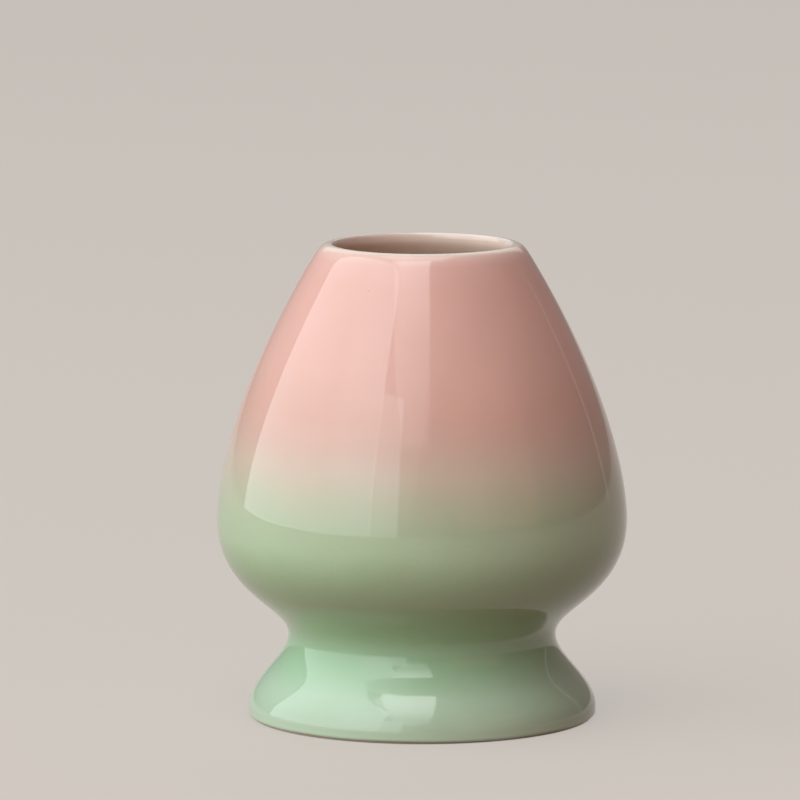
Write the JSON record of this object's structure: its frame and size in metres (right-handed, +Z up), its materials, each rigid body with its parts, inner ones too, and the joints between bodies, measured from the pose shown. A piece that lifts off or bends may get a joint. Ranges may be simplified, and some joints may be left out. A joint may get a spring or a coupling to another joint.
{
  "type": "tea whisk holder",
  "caption": "Bud-shaped porcelain stand with a round mouth and a flared foot, on which a bamboo tea whisk dries and keeps the spread of its tines.",
  "frame": {"origin": "middle of the flat face that the foot stands on", "axes": "+Z up along the axis of turning, out of the mouth; X and Y are free, because the object is round"},
  "size_m": [0.061, 0.061, 0.0707],
  "materials": {
    "porcelain": "fired porcelain, unglazed and lightly rubbed down on the ring that it stands on",
    "slip": "fired porcelain slip",
    "pink_glaze": "gloss glaze in soft pink, sprayed",
    "green_glaze": "gloss glaze in pale celadon green, sprayed",
    "liner_glaze": "clear gloss glaze over porcelain, cream white",
    "well_glaze": "clear gloss glaze over porcelain, cream white"
  },
  "bodies": {
    "root": {"vessel_body": "porcelain", "flared_foot": "porcelain", "luting_slip": "slip", "pink_glaze": "pink_glaze", "green_glaze": "green_glaze", "liner_glaze": "liner_glaze", "well_glaze": "well_glaze"}
  },
  "joints": []
}
